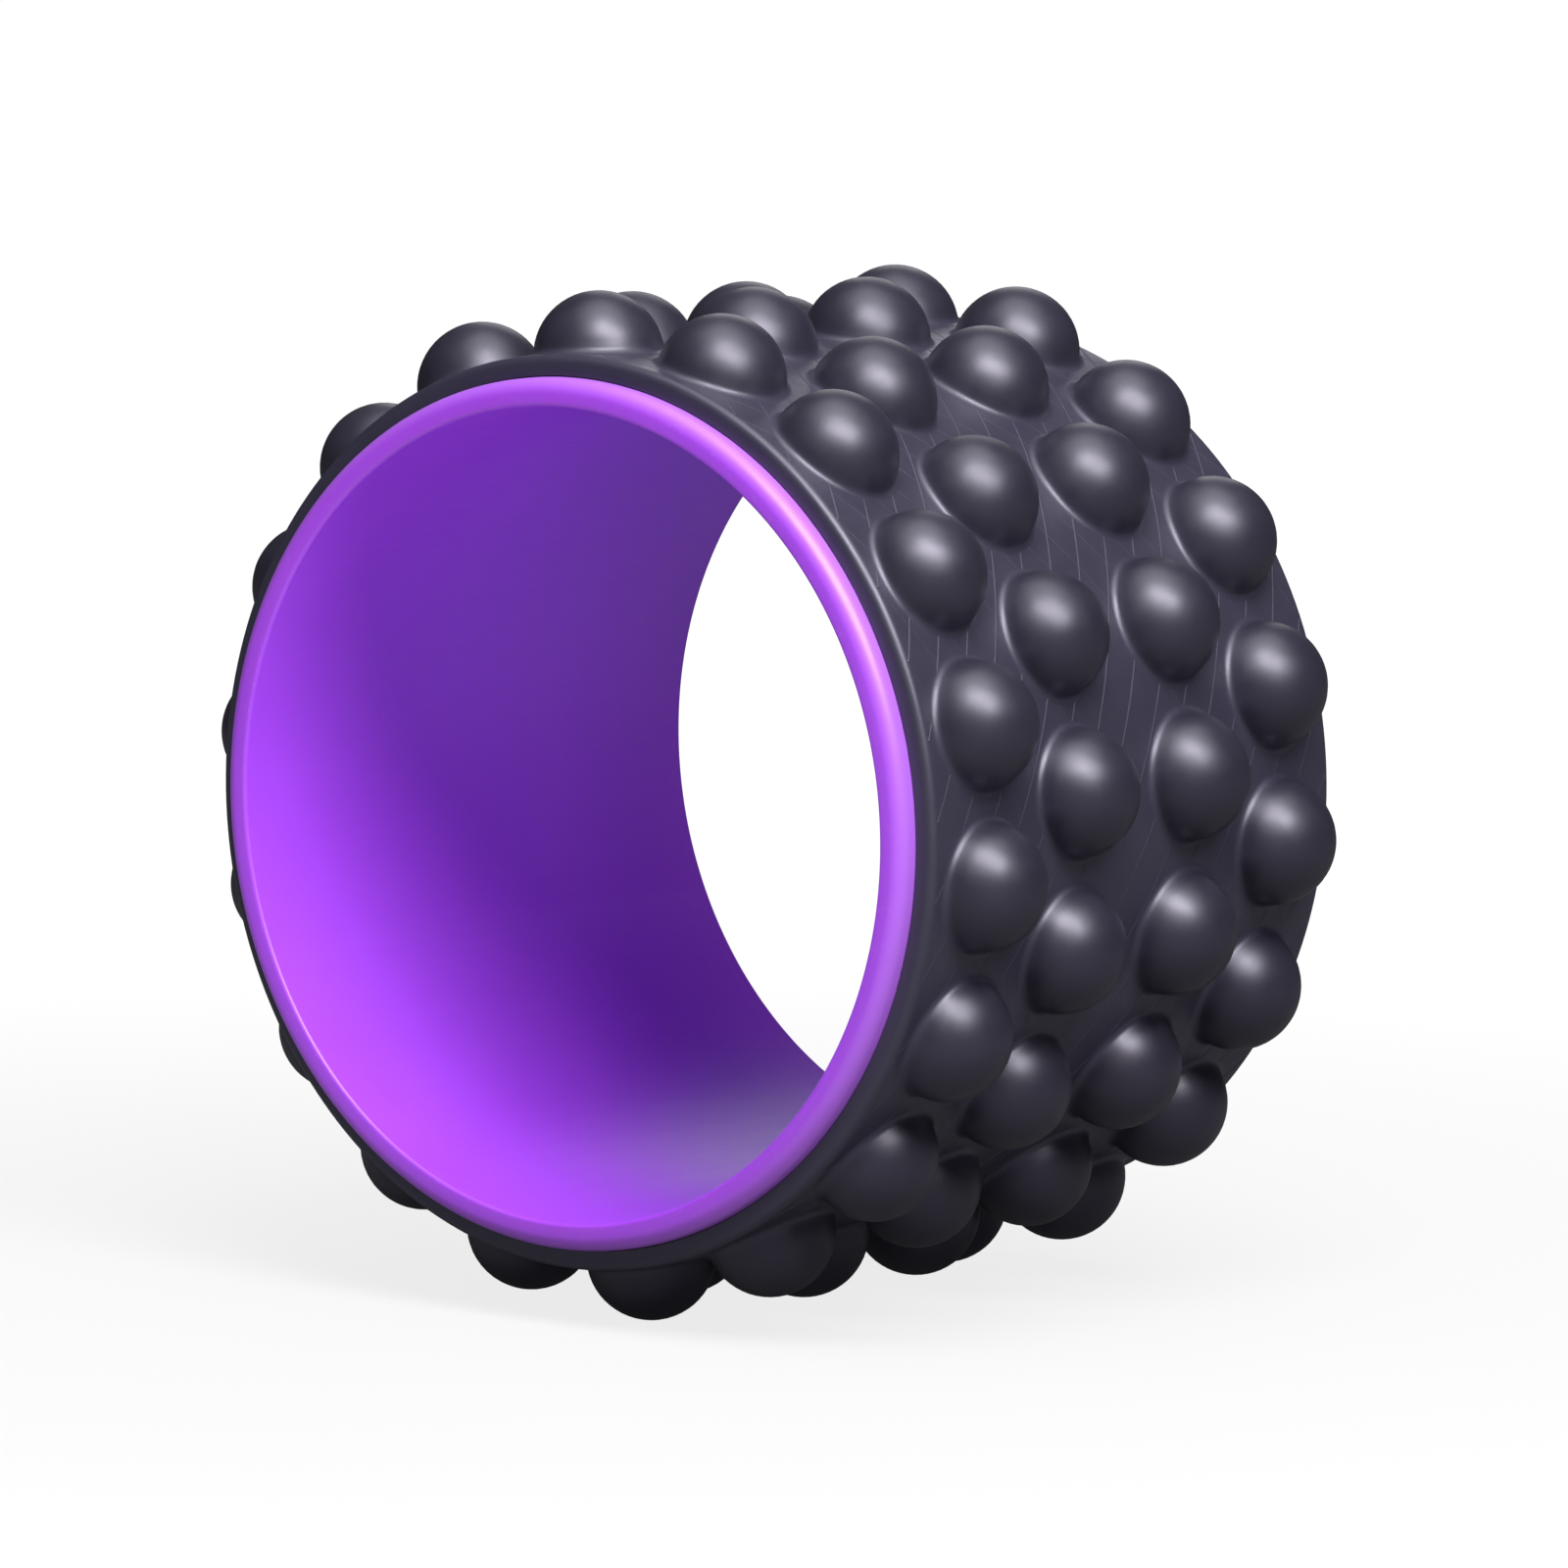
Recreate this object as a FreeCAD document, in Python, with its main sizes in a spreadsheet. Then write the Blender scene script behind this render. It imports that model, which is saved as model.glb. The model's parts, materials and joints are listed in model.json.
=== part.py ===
import FreeCAD, Part
import math
import os
import Sketcher
from FreeCAD import Placement, Rotation, Vector

# Yoga wheel: a rigid plastic tube with a soft sleeve of massage domes bonded round it.
# The wheel's centre is the origin, its axle line is Y and up is Z. It stands at rest on the
# lowest domes of its rows, which lie a quarter of a pitch either side of the bottom.
doc = FreeCAD.newDocument("YogaWheel")

# Driving dimensions in millimetres
sizes = doc.addObject("Spreadsheet::Sheet", "Sizes")
driving = {
    "core_diameter": 200.0,
    "core_wall": 6.5,
    "core_width": 161.0,
    "rim_round": 3.5,
    "bore_edge_round": 1.0,
    "glue_thickness": 0.3,
    "glue_setback": 0.5,
    "sleeve_thickness": 4.7,
    "sleeve_width": 151.0,
    "sleeve_edge_round": 2.0,
    "dome_radius": 15.1,
    "dome_sink": 1.5,
    "dome_foot_round": 2.0,
    "dome_gap": 5.7,
    "spine_channel": 12.0,
    "end_margin": 5.3,
}
for row, (alias, value) in enumerate(driving.items(), start=1):
    sizes.set(f"A{row}", alias)
    sizes.set(f"B{row}", str(value))
    sizes.setAlias(f"B{row}", alias)
doc.recompute()

# Radii that the pieces share, from the bore outwards
CORE_RADIUS = "Sizes.core_diameter / 2"
BORE_RADIUS = f"{CORE_RADIUS} - Sizes.core_wall"
SLEEVE_BORE_RADIUS = f"{CORE_RADIUS} + Sizes.glue_thickness"
SLEEVE_RADIUS = f"{SLEEVE_BORE_RADIUS} + Sizes.sleeve_thickness"
DOME_CENTRE_RADIUS = f"{SLEEVE_RADIUS} - Sizes.dome_sink"
DOME_ROOT_RADIUS = f"(({DOME_CENTRE_RADIUS}) + ({SLEEVE_BORE_RADIUS})) / 2"
GLUE_WIDTH = "Sizes.sleeve_width - 2 * Sizes.glue_setback"

# Rows from the middle plane: the inner ones beside the spine channel, the outer ones in from the ends
INNER_ROW_OFFSET = "(Sizes.spine_channel / 2 + Sizes.dome_radius)"
OUTER_ROW_OFFSET = "(Sizes.sleeve_width / 2 - Sizes.end_margin - Sizes.dome_radius)"

# A row holds as many domes as keep the gap from those beside them and from the staggered next row
DOME_SPACING = "(2 * Sizes.dome_radius + Sizes.dome_gap)"
STAGGER = f"sqrt(max({DOME_SPACING} ^ 2 - ({OUTER_ROW_OFFSET} - {INNER_ROW_OFFSET}) ^ 2; 0))"
SPACING_ANGLE = f"asin({DOME_SPACING} / 2 / ({DOME_CENTRE_RADIUS}))"
STAGGER_ANGLE = f"2 * asin({STAGGER} / 2 / ({DOME_CENTRE_RADIUS}))"
DOMES_PER_ROW = f"floor(180 deg / max({SPACING_ANGLE}; {STAGGER_ANGLE}))"
QUARTER_PITCH = f"90 / {DOMES_PER_ROW}"

# The ends of a line or an arc in a sketch and its centre, then the sketch's own axes
START, END, CENTRE = range(1, 4)
H_AXIS, V_AXIS = -1, -2
ORIGIN = (H_AXIS, START)
FULL_TURN = 360


def new_body(label):
    """A body that is one piece of the wheel, named as its file is."""
    body = doc.addObject("PartDesign::Body", label)
    body.Label = label
    return body


def origin_feature(body, role):
    """The body's own origin plane or axis with this role."""
    return next(feature for feature in body.Origin.OriginFeatures if feature.Role == role)


def new_sketch(body, name, plane):
    """An empty sketch lying on one of the body's origin planes."""
    sketch = body.newObject("Sketcher::SketchObject", name)
    sketch.AttachmentSupport = [(origin_feature(body, plane), "")]
    sketch.MapMode = "FlatFace"
    return sketch


def drive(sketch, name, formula, *constraint):
    """A dimension of the sketch that follows the sheet."""
    index = sketch.addConstraint(Sketcher.Constraint(*constraint, float(sketch.evalExpression(formula))))
    sketch.renameConstraint(index, name)
    sketch.setExpression(f"Constraints.{name}", formula)


def revolve(body, name, sketch):
    """A full turn of the sketch about its own upright axis."""
    turned = body.newObject("PartDesign::Revolution", name)
    turned.Profile = sketch
    turned.ReferenceAxis = (sketch, ["V_Axis"])
    turned.Angle = FULL_TURN
    doc.recompute()
    return turned


def add_ring(body, inner_radius, outer_radius, width):
    """A plain ring about Y, centred on the wheel: a rectangle between two radii, revolved."""
    sketch = new_sketch(body, f"{body.Label}_section", "XY_Plane")
    inner = float(sketch.evalExpression(inner_radius))
    outer = float(sketch.evalExpression(outer_radius))
    half = float(sketch.evalExpression(width)) / 2
    corners = [Vector(inner, -half), Vector(outer, -half), Vector(outer, half), Vector(inner, half)]
    near_end, outside, far_end, inside = [
        sketch.addGeometry(Part.LineSegment(corner, corners[(place + 1) % len(corners)]))
        for place, corner in enumerate(corners)
    ]
    for line, following in [(near_end, outside), (outside, far_end), (far_end, inside), (inside, near_end)]:
        sketch.addConstraint(Sketcher.Constraint("Coincident", line, END, following, START))
    for line in (near_end, far_end):
        sketch.addConstraint(Sketcher.Constraint("Horizontal", line))
    sketch.addConstraint(Sketcher.Constraint("Vertical", inside))
    sketch.addConstraint(Sketcher.Constraint("Symmetric", outside, START, outside, END, H_AXIS))
    drive(sketch, "inner_radius", inner_radius, "DistanceX", *ORIGIN, near_end, START)
    drive(sketch, "outer_radius", outer_radius, "DistanceX", *ORIGIN, near_end, END)
    drive(sketch, "width", width, "DistanceY", outside, START, outside, END)
    return revolve(body, f"{body.Label}_ring", sketch)


def round_edges(body, name, base, chosen, radius):
    """Round over the edges of the base feature that the chosen test picks."""
    edges = [
        f"Edge{place}"
        for place, edge in enumerate(base.Shape.Edges, start=1)
        if chosen(base.Shape, edge)
    ]
    rounding = body.newObject("PartDesign::Fillet", name)
    rounding.Base = (base, edges)
    rounding.setExpression("Radius", radius)
    doc.recompute()
    return rounding


def circle_of_radius(formula):
    """A test for the round edges that have this radius."""
    radius = float(sizes.evalExpression(formula))

    def chosen(shape, edge):
        is_circle = isinstance(edge.Curve, Part.Circle)
        return is_circle and abs(edge.Curve.Radius - radius) < Part.Precision.approximation()

    return chosen


def dome_foot(shape, edge):
    """A test for the edges where a dome rises from the sleeve."""
    kinds = {type(face.Surface) for face in shape.ancestorsOfType(edge, Part.Face)}
    return kinds == {Part.Sphere, Part.Cylinder}


def add_dome(body, name, row_offset, row_turn):
    """A ball standing out of the sleeve and cut off within its wall: part of a disc, revolved."""
    sketch = new_sketch(body, f"{name}_section", "YZ_Plane")
    along_axle = Vector(1, 0, 0)
    turn = Rotation(along_axle, float(sketch.evalExpression(row_turn)))
    sketch.AttachmentOffset = Placement(along_axle * float(sketch.evalExpression(row_offset)), turn)
    sketch.setExpression("AttachmentOffset.Base.x", row_offset)
    sketch.setExpression("AttachmentOffset.Rotation.Angle", row_turn)
    seat = float(sketch.evalExpression(DOME_CENTRE_RADIUS))
    reach = float(sketch.evalExpression("Sizes.dome_radius"))
    depth = seat - float(sketch.evalExpression(DOME_ROOT_RADIUS))
    root = Vector(0, seat - depth)
    foot = Vector(math.sqrt(reach**2 - depth**2), seat - depth)
    tip = Vector(0, seat + reach)
    crown = Part.Circle(Vector(0, seat), Vector(0, 0, 1), reach)
    base = sketch.addGeometry(Part.LineSegment(root, foot))
    arc = sketch.addGeometry(Part.ArcOfCircle(crown, crown.parameter(foot), crown.parameter(tip)))
    spine = sketch.addGeometry(Part.LineSegment(tip, root))
    for line, following in [(base, arc), (arc, spine), (spine, base)]:
        sketch.addConstraint(Sketcher.Constraint("Coincident", line, END, following, START))
    sketch.addConstraint(Sketcher.Constraint("Horizontal", base))
    sketch.addConstraint(Sketcher.Constraint("PointOnObject", spine, START, V_AXIS))
    sketch.addConstraint(Sketcher.Constraint("PointOnObject", spine, END, V_AXIS))
    sketch.addConstraint(Sketcher.Constraint("PointOnObject", arc, CENTRE, V_AXIS))
    drive(sketch, "root_radius", DOME_ROOT_RADIUS, "DistanceY", *ORIGIN, base, START)
    drive(sketch, "centre_radius", DOME_CENTRE_RADIUS, "DistanceY", *ORIGIN, arc, CENTRE)
    drive(sketch, "dome_radius", "Sizes.dome_radius", "Radius", arc)
    return revolve(body, name, sketch)


# The tube: cut to width, its rims rounded over outside and broken inside
core_tube = new_body("core_tube")
core_ring = add_ring(core_tube, BORE_RADIUS, CORE_RADIUS, "Sizes.core_width")
core_rims = round_edges(core_tube, "rims", core_ring, circle_of_radius(CORE_RADIUS), "Sizes.rim_round")
round_edges(core_tube, "bore_edges", core_rims, circle_of_radius(BORE_RADIUS), "Sizes.bore_edge_round")

# The bond between tube and sleeve, held back a little from the sleeve's ends
adhesive_film = new_body("adhesive_film")
add_ring(adhesive_film, CORE_RADIUS, SLEEVE_BORE_RADIUS, GLUE_WIDTH)

# The sleeve: a thin ring with its outer edges rounded, and four rows of domes moulded on it
massage_sleeve = new_body("massage_sleeve")
sleeve_ring = add_ring(massage_sleeve, SLEEVE_BORE_RADIUS, SLEEVE_RADIUS, "Sizes.sleeve_width")
round_edges(massage_sleeve, "ends", sleeve_ring, circle_of_radius(SLEEVE_RADIUS), "Sizes.sleeve_edge_round")
domes = [
    add_dome(massage_sleeve, "front_outer_dome", f"-{OUTER_ROW_OFFSET}", f"-{QUARTER_PITCH}"),
    add_dome(massage_sleeve, "front_inner_dome", f"-{INNER_ROW_OFFSET}", QUARTER_PITCH),
    add_dome(massage_sleeve, "rear_inner_dome", INNER_ROW_OFFSET, QUARTER_PITCH),
    add_dome(massage_sleeve, "rear_outer_dome", OUTER_ROW_OFFSET, f"-{QUARTER_PITCH}"),
]
rows = massage_sleeve.newObject("PartDesign::PolarPattern", "rows")
rows.Originals = domes
rows.Axis = (origin_feature(massage_sleeve, "Y_Axis"), [""])
rows.Angle = FULL_TURN
rows.setExpression("Occurrences", DOMES_PER_ROW)
massage_sleeve.Tip = rows
doc.recompute()
round_edges(massage_sleeve, "feet", rows, dome_foot, "Sizes.dome_foot_round")

pieces = [core_tube, adhesive_film, massage_sleeve]
for item in doc.Objects:
    if "Invalid" in item.State or "Error" in item.State:
        raise RuntimeError(f"{item.Label} did not build: {item.State}")
for piece in pieces:
    if piece.Shape.isNull() or not piece.Shape.isValid():
        raise RuntimeError(f"{piece.Label} has no sound solid")

os.makedirs("parts", exist_ok=True)
for piece in pieces:
    piece.Shape.exportStep(f"parts/{piece.Label}.step")
    print(piece.Label, len(piece.Shape.Solids), "solid", round(piece.Shape.Volume), "cubic mm")
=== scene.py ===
import json
import math

import bmesh
import bpy
from mathutils import Matrix, Vector


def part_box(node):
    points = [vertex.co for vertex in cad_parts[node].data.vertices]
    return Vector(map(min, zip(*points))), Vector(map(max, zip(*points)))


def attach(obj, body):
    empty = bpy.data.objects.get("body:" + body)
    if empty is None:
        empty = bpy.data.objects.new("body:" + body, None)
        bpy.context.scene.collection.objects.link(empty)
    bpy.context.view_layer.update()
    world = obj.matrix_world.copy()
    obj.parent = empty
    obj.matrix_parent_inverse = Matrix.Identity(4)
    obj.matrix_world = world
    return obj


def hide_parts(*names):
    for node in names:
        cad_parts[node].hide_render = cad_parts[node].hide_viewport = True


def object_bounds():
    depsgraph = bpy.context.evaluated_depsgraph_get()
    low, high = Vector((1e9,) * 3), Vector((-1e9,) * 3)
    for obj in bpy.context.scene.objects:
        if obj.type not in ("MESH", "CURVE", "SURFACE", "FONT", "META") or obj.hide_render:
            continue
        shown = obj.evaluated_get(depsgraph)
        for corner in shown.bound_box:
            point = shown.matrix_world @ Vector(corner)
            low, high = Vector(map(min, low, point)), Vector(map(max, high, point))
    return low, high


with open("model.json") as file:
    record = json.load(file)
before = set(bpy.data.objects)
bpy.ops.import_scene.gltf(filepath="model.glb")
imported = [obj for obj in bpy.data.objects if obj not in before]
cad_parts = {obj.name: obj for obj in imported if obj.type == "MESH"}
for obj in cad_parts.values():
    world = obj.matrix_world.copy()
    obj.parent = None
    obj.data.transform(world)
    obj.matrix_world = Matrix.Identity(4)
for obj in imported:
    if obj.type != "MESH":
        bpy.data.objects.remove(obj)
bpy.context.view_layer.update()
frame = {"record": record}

# Core tube: the rigid ring that carries the sleeve and takes the user's weight.
# Moulded in purple plastic with a satin skin, its outer rim edges rounded over
# and its bore edges only just broken.
tube_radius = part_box("core_tube")[1][0]
rim_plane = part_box("core_tube")[1][1]
bore_mount = next(mount for mount in frame["record"]["mounts"] if mount["name"] == "bore")
bore_radius = bore_mount["dims"]["r_mm"] / 1000
rim_round = 0.0035
rim_round_facets = 10
bore_edge_round = 0.0010
bore_edge_facets = 5
ring_steps = 288
axle = Vector((0, 1, 0))
hair = 1e-6


def spin_section(section, steps):
    """A closed section of (radius, distance along the axle) corners, spun once round the axle."""
    ring = bmesh.new()
    corners = [ring.verts.new((radius, along, 0)) for radius, along in section]
    sides = [ring.edges.new(pair) for pair in zip(corners, corners[1:] + corners[:1])]
    bmesh.ops.spin(ring, geom=corners + sides, axis=axle, angle=math.tau, steps=steps, use_merge=True)
    bmesh.ops.recalc_face_normals(ring, faces=ring.faces)
    return ring


def hoops_at(ring, radius, along):
    """The edges that run round the ring at this radius and this distance either side of its middle."""

    def lies_there(corner):
        from_axle = math.hypot(corner.co.x, corner.co.z)
        return abs(from_axle - radius) < hair and abs(abs(corner.co.y) - along) < hair

    def runs_round(edge):
        first, last = edge.verts
        return abs(first.co.y - last.co.y) < hair and lies_there(first) and lies_there(last)

    return [edge for edge in ring.edges if runs_round(edge)]


def round_hoops(ring, radius, along, size, segments):
    """Round over the ring's edges at this radius and distance."""
    hoops = hoops_at(ring, radius, along)
    bmesh.ops.bevel(
        ring, geom=hoops, offset=size, affect="EDGES", segments=segments, profile=0.5, material=-1
    )


def finish_piece(name, mesh, material, sharp_angle):
    """The piece as an object of its own, smooth but for its real corners, riding on the wheel."""
    bmesh.ops.recalc_face_normals(mesh, faces=mesh.faces)
    data = bpy.data.meshes.new(name)
    mesh.to_mesh(data)
    mesh.free()
    data.shade_smooth()
    data.set_sharp_from_angle(angle=math.radians(sharp_angle))
    data.materials.append(material)
    piece = bpy.data.objects.new(name, data)
    bpy.context.collection.objects.link(piece)
    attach(piece, "root")
    return piece


def new_finish(name):
    """A new material with its principled shader, its node maker and its wiring."""
    material = bpy.data.materials.new(name)
    material.use_nodes = True
    tree = material.node_tree
    shader = tree.nodes["Principled BSDF"]

    def node(kind, **settings):
        made = tree.nodes.new(kind)
        for setting, value in settings.items():
            setattr(made, setting, value)
        return made

    return material, shader, node, tree.links.new


def spread(node, wire, place, per_metre, detail=3.0, stretch=(1, 1, 1)):
    """Noise with about this many lumps per metre, drawn out along an axis where stretch is small."""
    turn = node("ShaderNodeMapping")
    turn.inputs["Scale"].default_value = stretch
    noise = node("ShaderNodeTexNoise")
    noise.inputs["Scale"].default_value = per_metre
    noise.inputs["Detail"].default_value = detail
    wire(place, turn.inputs["Vector"])
    wire(turn.outputs["Vector"], noise.inputs["Vector"])
    return noise.outputs["Fac"]


def between(node, wire, value, low, high, from_low=0.3, from_high=0.7):
    """The value, which mostly lies between two levels, laid out again between low and high."""
    band = node("ShaderNodeMapRange")
    wire(value, band.inputs["Value"])
    band.inputs["From Min"].default_value = from_low
    band.inputs["From Max"].default_value = from_high
    band.inputs["To Min"].default_value = low
    band.inputs["To Max"].default_value = high
    return band.outputs["Result"]


def colour_mix(node, wire, share):
    """A mix of two colours by this share, as its plain socket, its other socket and its result."""
    mix = node("ShaderNodeMix", data_type="RGBA")
    wire(share, mix.inputs["Factor"])
    plain, other = [socket for socket in mix.inputs if socket.type == "RGBA"]
    result = next(socket for socket in mix.outputs if socket.type == "RGBA")
    return plain, other, result


def tinted(node, wire, share, plain_colour, other_colour):
    """A colour that goes from the plain one to the other with the share."""
    plain, other, result = colour_mix(node, wire, share)
    plain.default_value = (*plain_colour, 1)
    other.default_value = (*other_colour, 1)
    return result


def laid_over(node, wire, share, below, colour):
    """A colour laid over the one below it by this share."""
    plain, other, result = colour_mix(node, wire, share)
    wire(below, plain)
    other.default_value = (*colour, 1)
    return result


def distance_from_axle(node, wire, place):
    """How far each point of the piece lies from the axle."""
    square_to_axle = node("ShaderNodeVectorMath", operation="MULTIPLY")
    square_to_axle.inputs[1].default_value = (1, 0, 1)
    wire(place, square_to_axle.inputs[0])
    from_axle = node("ShaderNodeVectorMath", operation="LENGTH")
    wire(square_to_axle.outputs["Vector"], from_axle.inputs[0])
    return from_axle.outputs["Value"]


def raised(node, wire, height, distance, strength, below=None):
    """A bump of this height field, on top of another one if there is one."""
    bump = node("ShaderNodeBump")
    bump.inputs["Strength"].default_value = strength
    bump.inputs["Distance"].default_value = distance
    wire(height, bump.inputs["Height"])
    if below:
        wire(below, bump.inputs["Normal"])
    return bump.outputs["Normal"]


def satin_purple():
    """Purple moulded plastic: slightly uneven pigment, a fine skin, and a pale painted sheen on the outer
    rounds of the rims.
    """
    pigment = (0.360, 0.052, 0.790)
    pale_pigment = (0.395, 0.064, 0.830)
    scuff = (0.480, 0.150, 0.840)
    painted_sheen_edge = (0.420, 0.130, 0.760)
    clouds_per_metre = 14
    specks_per_metre = 900
    dimples_per_metre = 420
    dimple_depth = 0.0002
    draw_lines_per_metre = 700
    draw_line_depth = 0.00005
    along_the_bore = (1, 0.02, 1)
    material, shader, node, wire = new_finish("satin_purple_plastic")
    place = node("ShaderNodeTexCoord").outputs["Object"]
    clouds = spread(node, wire, place, clouds_per_metre, detail=4.0)
    body = tinted(node, wire, between(node, wire, clouds, 0, 1), pigment, pale_pigment)
    along = node("ShaderNodeSeparateXYZ")
    wire(place, along.inputs["Vector"])
    reach = node("ShaderNodeMath", operation="ABSOLUTE")
    wire(along.outputs["Y"], reach.inputs[0])
    near_rim = between(node, wire, reach.outputs[0], 0, 1, rim_plane - rim_round, rim_plane)
    specks = spread(node, wire, place, specks_per_metre, detail=5.0)
    worn = node("ShaderNodeMath", operation="MULTIPLY")
    wire(near_rim, worn.inputs[0])
    wire(between(node, wire, specks, 0, 0.35, from_low=0.60, from_high=0.75), worn.inputs[1])
    scuffed = laid_over(node, wire, worn.outputs[0], body, scuff)
    radius = distance_from_axle(node, wire, place)
    # Painted sheen: the outer rounds of the rims are laid over with a pale lilac, fully at the outermost
    # edge, standing in for the light's broad reflection there.
    painted_sheen_share = between(node, wire, radius, 0, 1, tube_radius - rim_round, tube_radius)
    wire(laid_over(node, wire, painted_sheen_share, scuffed, painted_sheen_edge), shader.inputs["Base Color"])
    draw_lines = spread(node, wire, place, draw_lines_per_metre, detail=2.0, stretch=along_the_bore)
    wire(between(node, wire, draw_lines, 0.42, 0.47), shader.inputs["Roughness"])
    shader.inputs["Specular IOR Level"].default_value = 0.90
    dimples = spread(node, wire, place, dimples_per_metre, detail=2.0)
    skin = raised(node, wire, dimples, dimple_depth, strength=0.12)
    drawn_skin = raised(node, wire, draw_lines, draw_line_depth, strength=0.04, below=skin)
    wire(drawn_skin, shader.inputs["Normal"])
    return material


core_section = [
    (bore_radius, -rim_plane),
    (tube_radius, -rim_plane),
    (tube_radius, rim_plane),
    (bore_radius, rim_plane),
]
tube = spin_section(core_section, ring_steps)
round_hoops(tube, tube_radius, rim_plane, rim_round, rim_round_facets)
round_hoops(tube, bore_radius, rim_plane, bore_edge_round, bore_edge_facets)
core_tube = finish_piece("purple_core_tube", tube, satin_purple(), sharp_angle=60)
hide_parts("core_tube")

# Adhesive film: the contact glue that bonds the sleeve to the tube all round.
# A thin black layer, brushed on, that shows only as an uneven bead at the sleeve's two ends.
film_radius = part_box("adhesive_film")[1][0]
film_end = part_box("adhesive_film")[1][1]
bead_wander = 0.00035
bead_waves = ((11, 0), (7, 1), (29, 2))


def dull_glue():
    """Cured contact adhesive: dull black, a little lumpy."""
    glue = (0.010, 0.006, 0.014)
    pale_glue = (0.022, 0.014, 0.030)
    lumps_per_metre = 600
    lump_height = 0.0002
    material, shader, node, wire = new_finish("dull_black_glue")
    place = node("ShaderNodeTexCoord").outputs["Object"]
    lumps = spread(node, wire, place, lumps_per_metre)
    colour = tinted(node, wire, between(node, wire, lumps, 0, 1), glue, pale_glue)
    wire(colour, shader.inputs["Base Color"])
    wire(between(node, wire, lumps, 0.45, 0.75), shader.inputs["Roughness"])
    wire(raised(node, wire, lumps, lump_height, strength=0.4), shader.inputs["Normal"])
    return material


film_section = [
    (tube_radius, -film_end),
    (film_radius, -film_end),
    (film_radius, film_end),
    (tube_radius, film_end),
]
film = spin_section(film_section, ring_steps)
for corner in film.verts:
    heading = math.atan2(corner.co.x, corner.co.z)
    wander = math.prod(math.sin(waves * heading + start) for waves, start in bead_waves)
    corner.co.y -= math.copysign(bead_wander * (1 + wander) / 2, corner.co.y)
adhesive_film = finish_piece("glue_film", film, dull_glue(), sharp_angle=40)
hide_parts("adhesive_film")

# Massage sleeve: a soft cover moulded in one from charcoal foam with a satin skin.
# Four rows of domes stand on a thin base, the outer rows half a pitch on from the inner ones,
# with a channel for the spine in the middle. Each dome flows into the base with a hollow round.
sleeve_bore_radius = film_radius
sleeve_radius = 0.1050
sleeve_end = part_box("massage_sleeve")[1][1]
end_round = 0.0020
straight_end = sleeve_end - end_round
dome_radius = 0.0151
dome_centre_radius = 0.1035
foot_round = 0.0020
domes_per_row = 18
inner_row = -0.0211
outer_row = -0.0551
row_border = (inner_row + outer_row) / 2
pitch = math.tau / domes_per_row
quarter_pitch = pitch / 4
spokes = 48
spokes_per_side = spokes // 4
dome_rings = 13
foot_rings = 6
flat_rings = 3
end_rings = 5
seam_reach = hair * 5


def on_sleeve(heading, along, radius=sleeve_radius):
    """The point at this heading round the wheel and this distance along the axle."""
    return Vector((radius * math.sin(heading), along, radius * math.cos(heading)))


def foot_ball(facing):
    """Centre of the ball that rolls round the dome's foot, seen from the dome's middle at this facing."""
    reach = dome_radius + foot_round
    around = math.cos(facing) ** 2
    surplus = dome_centre_radius**2 + reach**2 * around - (sleeve_radius + foot_round) ** 2
    spread_term = dome_centre_radius**2 - (1 - around) * surplus
    rise = -surplus / (dome_centre_radius + math.sqrt(spread_term))
    out = math.sqrt(reach**2 - rise**2)
    return Vector((out * math.cos(facing), out * math.sin(facing), rise))


def patch_edge(spoke, low, high):
    """Where a spoke meets the edge of its dome's patch, as (heading, distance along the axle)."""
    side, step = divmod((spoke + spokes_per_side // 2) % spokes, spokes_per_side)
    share = step / spokes_per_side
    half = pitch / 2
    if side == 0:
        return half, low + (high - low) * share
    if side == 1:
        return half - pitch * share, high
    if side == 2:
        return -half, high - (high - low) * share
    return -half + pitch * share, low


def spoke_points(spoke, row, low, high):
    """The points down one spoke of a dome: over the dome, through its foot round, out over the base."""
    facing = math.tau * spoke / spokes
    middle = Vector((0, row, dome_centre_radius))
    ball = foot_ball(facing)
    lean = math.atan2(ball.xy.length, ball.z)
    points = []
    for ring in range(1, dome_rings + 1):
        tilt = lean * ring / dome_rings
        flat = Vector((math.cos(facing), math.sin(facing), 0)) * math.sin(tilt)
        points.append(middle + dome_radius * (flat + Vector((0, 0, math.cos(tilt)))))
    centre = middle + ball
    to_dome = -ball.normalized()
    to_base = -Vector((centre.x, 0, centre.z)).normalized()
    for ring in range(1, foot_rings + 1):
        points.append(centre + foot_round * to_dome.slerp(to_base, ring / foot_rings))
    foot = points[-1]
    start = Vector((math.atan2(foot.x, foot.z), foot.y))
    stop = Vector(patch_edge(spoke, low, high))
    for ring in range(1, flat_rings + 1):
        points.append(on_sleeve(*start.lerp(stop, ring / flat_rings)))
    return points


def draw_out(mesh, hoop):
    """Draw an open edge of the mesh out into a new ring of faces, and give its new corners and open edge."""
    drawn = bmesh.ops.extrude_edge_only(mesh, edges=hoop)["geom"]
    corners = [item for item in drawn if isinstance(item, bmesh.types.BMVert)]
    new_hoop = [item for item in drawn if isinstance(item, bmesh.types.BMEdge) and item.is_boundary]
    return corners, new_hoop


def repeat_round(mesh, times):
    """Repeat what the mesh holds this many times round the wheel, evenly."""
    bmesh.ops.spin(
        mesh,
        geom=mesh.verts[:] + mesh.edges[:] + mesh.faces[:],
        axis=axle,
        angle=math.tau * (times - 1) / times,
        steps=times - 1,
        use_duplicate=True,
    )


def join_to(whole, part):
    """Put the part's mesh into the whole one."""
    data = bpy.data.meshes.new("part")
    part.to_mesh(data)
    part.free()
    whole.from_mesh(data)
    bpy.data.meshes.remove(data)


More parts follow.
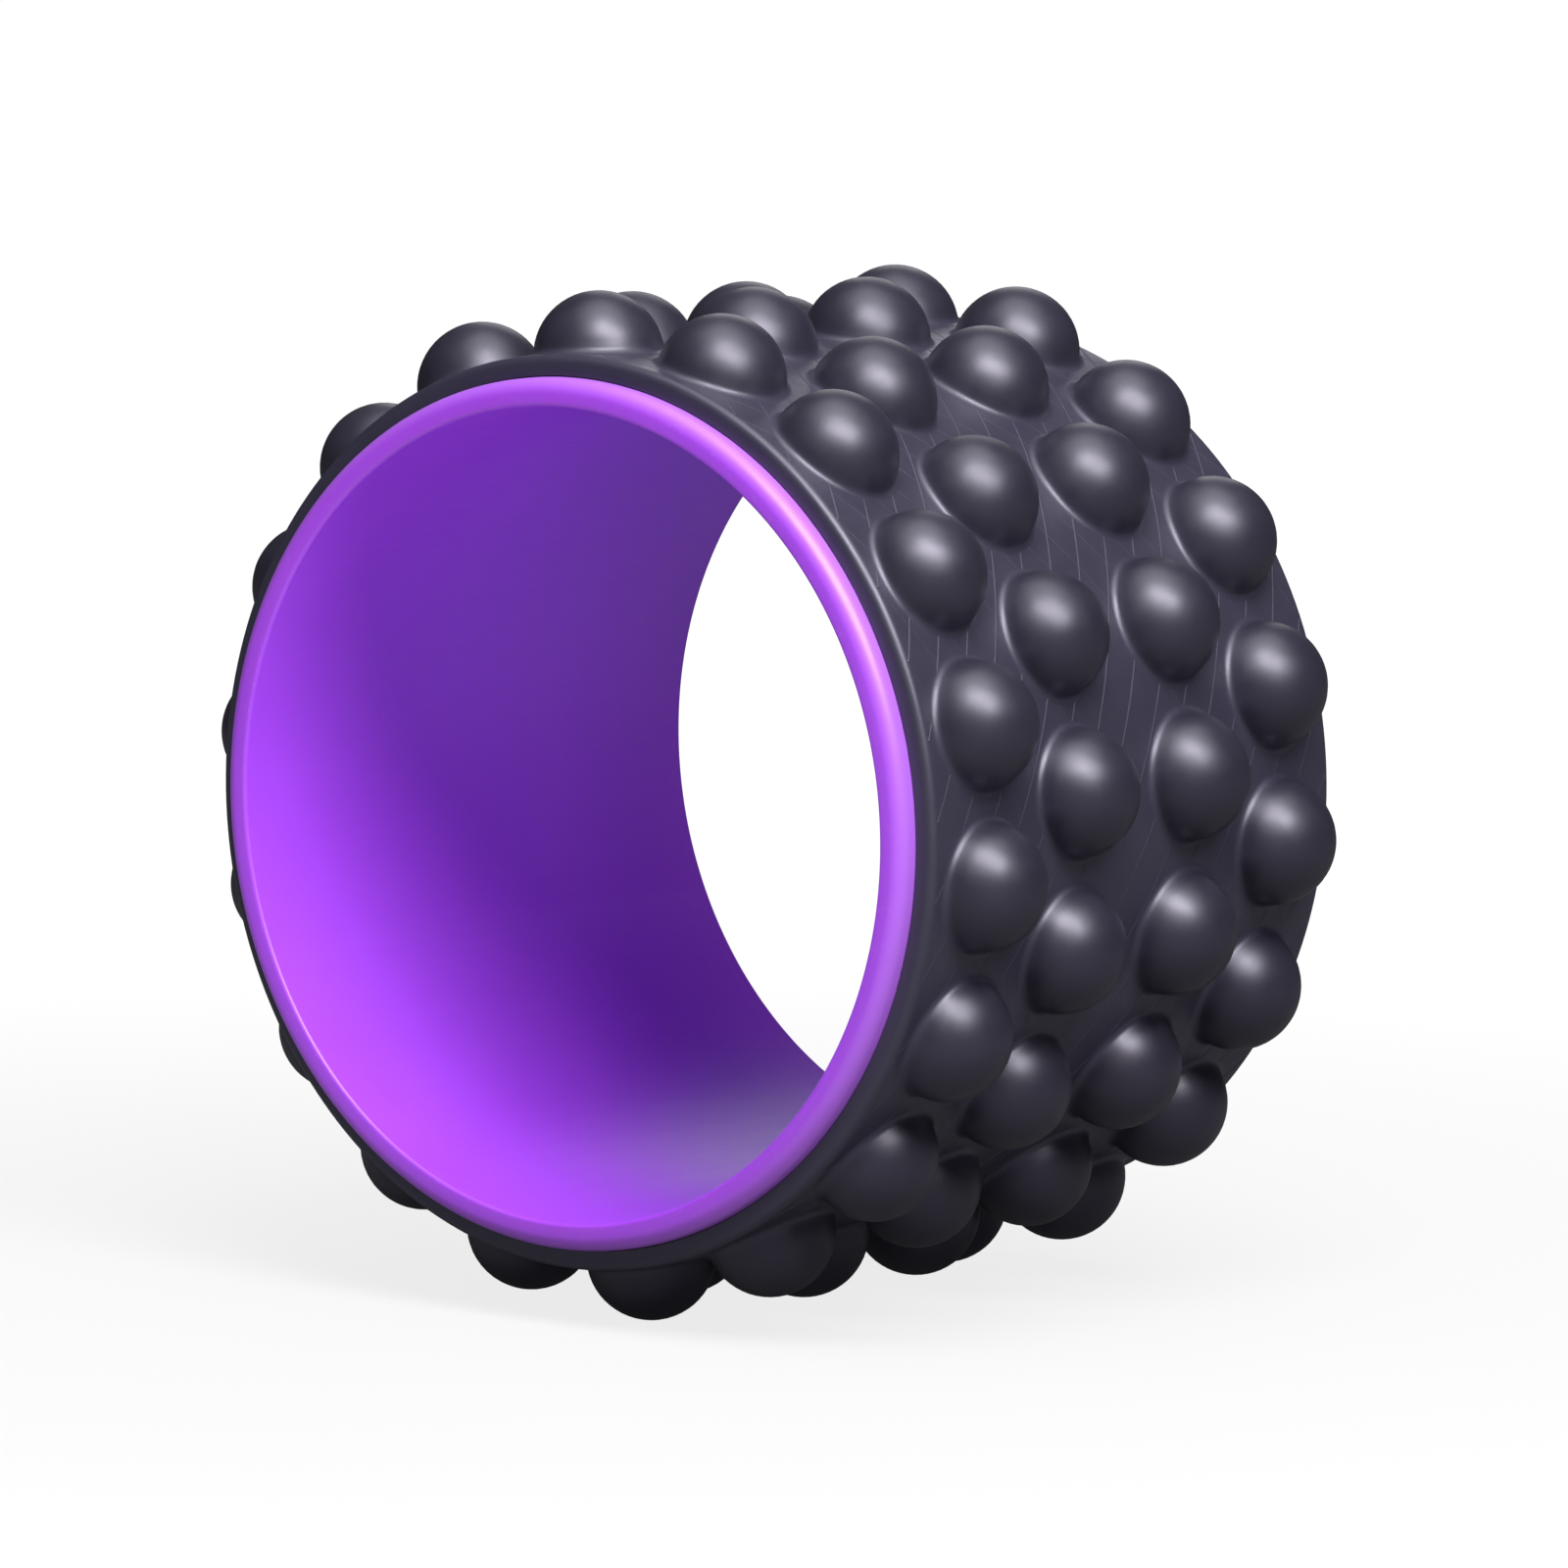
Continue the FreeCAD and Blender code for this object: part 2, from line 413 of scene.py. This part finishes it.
def add_dome_row(sleeve, row, low, high, turn):
    """One dome on its patch of the base, drawn out ring by ring, then repeated round the wheel."""
    patch = bmesh.new()
    spoke_of = patch.verts.layers.int.new("spoke")
    cap = bmesh.ops.create_circle(patch, cap_ends=True, cap_tris=True, segments=spokes, radius=dome_radius)
    paths = [spoke_points(spoke, row, low, high) for spoke in range(spokes)]
    tip = min(cap["verts"], key=lambda corner: corner.co.length)
    rim = [corner for corner in cap["verts"] if corner is not tip]
    for corner in rim:
        corner[spoke_of] = round(math.atan2(corner.co.y, corner.co.x) / math.tau * spokes) % spokes
    tip.co = (0, row, dome_centre_radius + dome_radius)
    hoop = [edge for edge in patch.edges if tip not in edge.verts]
    for ring in range(len(paths[0])):
        if ring > 0:
            rim, hoop = draw_out(patch, hoop)
        for corner in rim:
            corner.co = paths[corner[spoke_of]][ring]
    bmesh.ops.rotate(patch, verts=patch.verts, matrix=Matrix.Rotation(turn, 3, axle))
    repeat_round(patch, domes_per_row)
    join_to(sleeve, patch)


def end_hoop(sleeve, side):
    """The open edge of the sleeve at its end on this side."""
    return [edge for edge in sleeve.edges if edge.is_boundary and edge.verts[0].co.y * side > 0]


def close_sleeve(sleeve):
    """Round the two ends over, turn them in to the bore and bridge the bore between them."""
    section = []
    for ring in range(1, end_rings + 1):
        bend = math.radians(90) * ring / end_rings
        radius = sleeve_radius - end_round + end_round * math.cos(bend)
        section.append((radius, straight_end + end_round * math.sin(bend)))
    section.append((sleeve_bore_radius, sleeve_end))
    hoops = []
    for side in (-1, 1):
        hoop = end_hoop(sleeve, side)
        for radius, along in section:
            corners, hoop = draw_out(sleeve, hoop)
            for corner in corners:
                corner.co = on_sleeve(math.atan2(corner.co.x, corner.co.z), side * along, radius)
        hoops += hoop
    bmesh.ops.bridge_loops(sleeve, edges=hoops)


def satin_charcoal():
    """Moulded foam skin: charcoal with a cool cast, finely grained, paler on the base than on the domes."""
    dome_skin = (0.0165, 0.0150, 0.0270)
    base_skin = (0.0310, 0.0285, 0.0500)
    worn_skin = (0.0280, 0.0255, 0.0430)
    cool_sheen = (0.89, 0.85, 1.0)
    base_skin_ends = sleeve_radius + 0.0003
    dome_skin_starts = sleeve_radius + 0.0025
    clouds_per_metre = 60
    sheen_patches_per_metre = 180
    grains_per_metre = 2600
    grain_height = 0.0001
    material, shader, node, wire = new_finish("satin_charcoal_foam")
    place = node("ShaderNodeTexCoord").outputs["Object"]
    radius = distance_from_axle(node, wire, place)
    up_dome = between(node, wire, radius, 0, 1, base_skin_ends, dome_skin_starts)
    moulded = tinted(node, wire, up_dome, base_skin, dome_skin)
    clouds = spread(node, wire, place, clouds_per_metre, detail=5.0)
    worn = between(node, wire, clouds, 0, 0.4)
    wire(laid_over(node, wire, worn, moulded, worn_skin), shader.inputs["Base Color"])
    sheen_patches = spread(node, wire, place, sheen_patches_per_metre)
    wire(between(node, wire, sheen_patches, 0.40, 0.47), shader.inputs["Roughness"])
    shader.inputs["Specular IOR Level"].default_value = 1.0
    shader.inputs["Specular Tint"].default_value = (*cool_sheen, 1)
    grain = spread(node, wire, place, grains_per_metre, detail=2.0)
    wire(raised(node, wire, grain, grain_height, strength=0.10), shader.inputs["Normal"])
    return material


sleeve = bmesh.new()
add_dome_row(sleeve, outer_row, -straight_end, row_border, -quarter_pitch)
add_dome_row(sleeve, inner_row, row_border, 0, quarter_pitch)
bmesh.ops.mirror(sleeve, geom=sleeve.verts[:] + sleeve.edges[:] + sleeve.faces[:], axis="Y")
bmesh.ops.remove_doubles(sleeve, verts=sleeve.verts, dist=seam_reach)
close_sleeve(sleeve)
charcoal = satin_charcoal()
massage_sleeve = finish_piece("massage_sleeve_cover", sleeve, charcoal, sharp_angle=60)
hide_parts("massage_sleeve")

# Grip lines: a diamond hatch of hair-fine ridges on the sleeve's base, cut into its mould.
# They run all over the base at a slant to both hands and pass under the domes, those of
# one hand standing twice as high as the others.
lines_round = 36
line_slant = math.radians(30)
line_width = 0.0011
strong_line_height = 0.00012
faint_line_height = 0.00006
line_root = 0.00009
line_start = math.radians(7.24)
line_steps = 72
line_turn = 2 * straight_end / math.tan(line_slant) / sleeve_radius


def grip_section(ridges, height):
    """The ridge's own three corners, square to its run, at the end of the sleeve where it starts."""
    corners = []
    for aside, rise in ((-0.5, -line_root), (0, height), (0.5, -line_root)):
        heading = line_start + aside * line_width * math.sin(line_slant) / sleeve_radius
        along = straight_end + aside * line_width * math.cos(line_slant)
        corners.append(ridges.verts.new(on_sleeve(heading, along, sleeve_radius + rise)))
    return corners + [ridges.edges.new(pair) for pair in zip(corners, corners[1:] + corners[:1])]


def add_grip_lines(lines, height, hand):
    """All ridges of one hand: one drawn out along its slant, closed at its ends and repeated."""
    ridges = bmesh.new()
    bmesh.ops.spin(
        ridges,
        geom=grip_section(ridges, height),
        axis=axle,
        dvec=axle * (-2 * straight_end / line_steps),
        angle=line_turn,
        steps=line_steps,
    )
    bmesh.ops.holes_fill(ridges, edges=ridges.edges, sides=3)
    repeat_round(ridges, lines_round)
    bmesh.ops.scale(ridges, verts=ridges.verts, vec=(1, hand, 1))
    join_to(lines, ridges)


lines = bmesh.new()
add_grip_lines(lines, strong_line_height, hand=1)
add_grip_lines(lines, faint_line_height, hand=-1)
finish_piece("grip_lines", lines, charcoal, sharp_angle=20)

# Floor: a plain pale studio floor that the wheel stands on and throws its shadow on.
# White to the eye. Round the wheel part of that white is lamplight, which the wheel can shade.
floor_reach = 20.0
floor_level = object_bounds()[0][2]
glow_near_wheel = 0.82
glow_far_off = 1.0
shadow_reach = 0.20
white_reach = 0.90
mirrored_glow = 0.04
floor_shade = 0.10


def pale_floor():
    """White to the eye and faint in reflections, with a share of true shade by the wheel for its shadow."""
    material, shader, node, wire = new_finish("pale_floor")
    from_wheel = node("ShaderNodeVectorMath", operation="LENGTH")
    wire(node("ShaderNodeTexCoord").outputs["Object"], from_wheel.inputs[0])
    level = node("ShaderNodeMapRange", interpolation_type="SMOOTHSTEP")
    wire(from_wheel.outputs["Value"], level.inputs["Value"])
    level.inputs["From Min"].default_value = shadow_reach
    level.inputs["From Max"].default_value = white_reach
    level.inputs["To Min"].default_value = glow_near_wheel
    level.inputs["To Max"].default_value = glow_far_off
    seen = node("ShaderNodeLightPath")
    mirrored = node("ShaderNodeMath", operation="MAXIMUM")
    wire(seen.outputs["Is Glossy Ray"], mirrored.inputs[0])
    wire(seen.outputs["Is Transmission Ray"], mirrored.inputs[1])
    in_view = node("ShaderNodeMath", operation="MULTIPLY_ADD")
    wire(mirrored.outputs[0], in_view.inputs[0])
    in_view.inputs[1].default_value = mirrored_glow
    wire(seen.outputs["Is Camera Ray"], in_view.inputs[2])
    strength = node("ShaderNodeMath", operation="MULTIPLY")
    wire(in_view.outputs[0], strength.inputs[0])
    wire(level.outputs["Result"], strength.inputs[1])
    glow = node("ShaderNodeEmission")
    wire(strength.outputs[0], glow.inputs["Strength"])
    shade = node("ShaderNodeBsdfDiffuse")
    shade.inputs["Color"].default_value = (floor_shade, floor_shade, floor_shade, 1)
    both = node("ShaderNodeAddShader")
    wire(glow.outputs[0], both.inputs[0])
    wire(shade.outputs[0], both.inputs[1])
    wire(both.outputs[0], material.node_tree.nodes["Material Output"].inputs["Surface"])
    material.node_tree.nodes.remove(shader)
    return material


ground = bmesh.new()
bmesh.ops.create_grid(ground, x_segments=1, y_segments=1, size=floor_reach)
bmesh.ops.translate(ground, verts=ground.verts, vec=(0, 0, floor_level))
ground_data = bpy.data.meshes.new("studio_floor")
ground.to_mesh(ground_data)
ground.free()
ground_data.materials.append(pale_floor())
floor = bpy.data.objects.new("studio_floor", ground_data)
bpy.context.collection.objects.link(floor)

# Camera: a long lens a little above the axle, looking into the bore from the front and right.
camera_place = Vector((1.650267, -2.079219, 0.326621))
camera_right = Vector((0.78288, 0.62200, 0.01115))
camera_ahead = Vector((-0.61640, 0.77790, -0.12200))
lens_data = bpy.data.cameras.new("photo_camera")
lens_data.sensor_width = 36
lens_data.lens = 263.35
camera = bpy.data.objects.new("photo_camera", lens_data)
bpy.context.collection.objects.link(camera)
back = -camera_ahead.normalized()
right = (camera_right - camera_right.dot(back) * back).normalized()
stance = Matrix((right, back.cross(right), back)).transposed().to_4x4()
camera.matrix_world = Matrix.Translation(camera_place) @ stance
bpy.context.scene.camera = camera

# Studio light: a soft key box high on the right in front, broad weaker ones above and to the left,
# a low one that reaches into the bore, two behind, a bounce card on the floor before and behind
# the wheel, and dim air that is white to the eye.
air_light = 0.02
air_to_the_eye = 1.0
card_size = (0.60, 0.50)
card_distance = 0.38
card_lift = 0.002
world = bpy.data.worlds.new("white_studio")
bpy.context.scene.world = world
world.use_nodes = True
air = world.node_tree
sky = air.nodes["Background"]
seen = air.nodes.new("ShaderNodeLightPath")
brightness = air.nodes.new("ShaderNodeMapRange")
brightness.inputs["To Min"].default_value = air_light
brightness.inputs["To Max"].default_value = air_to_the_eye
sky.inputs["Color"].default_value = (1, 1, 1, 1)
air.links.new(seen.outputs["Is Camera Ray"], brightness.inputs["Value"])
air.links.new(brightness.outputs["Result"], sky.inputs["Strength"])


def soft_box(name, place, size, power, aim=(0, 0, 0), lengthwise=(0, 0, 1), in_sheen=True):
    """A lamp of this (width, length) that faces its aim, its length running lengthwise, out of the frame."""
    lamp = bpy.data.lights.new(name, "AREA")
    lamp.shape = "RECTANGLE"
    lamp.size, lamp.size_y = size
    lamp.energy = power
    box = bpy.data.objects.new(name, lamp)
    behind = (Vector(place) - Vector(aim)).normalized()
    across = Vector(lengthwise).cross(behind).normalized()
    facing = Matrix((across, behind.cross(across), behind)).transposed().to_4x4()
    box.matrix_world = Matrix.Translation(place) @ facing
    box.visible_camera = False
    box.visible_glossy = in_sheen
    bpy.context.collection.objects.link(box)


def bounce_card(along, power):
    """A pale card just off the floor at this distance along the axle, which throws light straight up."""
    place = Vector((0, along, floor_level + card_lift))
    above = place + Vector((0, 0, 1))
    soft_box("bounce_card", place, card_size, power, aim=above, lengthwise=axle, in_sheen=False)


soft_box("key_box", (0.899, -0.514, 1.220), size=(0.65, 1.40), power=41, lengthwise=(0.79, 0.45, -0.40))
soft_box("top_box", (0.10, 0.00, 2.00), size=(1.6, 1.6), power=16, lengthwise=axle)
soft_box("left_box", (-1.01, -1.27, 1.90), size=(1.6, 1.6), power=5, in_sheen=False)
soft_box("low_box", (1.89, -1.63, 0.15), size=(0.8, 0.8), power=12.5, in_sheen=False)
soft_box("back_box", (-1.26, 1.89, 1.06), size=(0.9, 0.9), power=4.4)
soft_box("rear_box", (1.00, 2.20, 0.25), size=(0.9, 0.9), power=5, in_sheen=False)
bounce_card(-card_distance, power=0.9)
bounce_card(card_distance, power=0.3)

bpy.context.scene.view_settings.view_transform = "Standard"
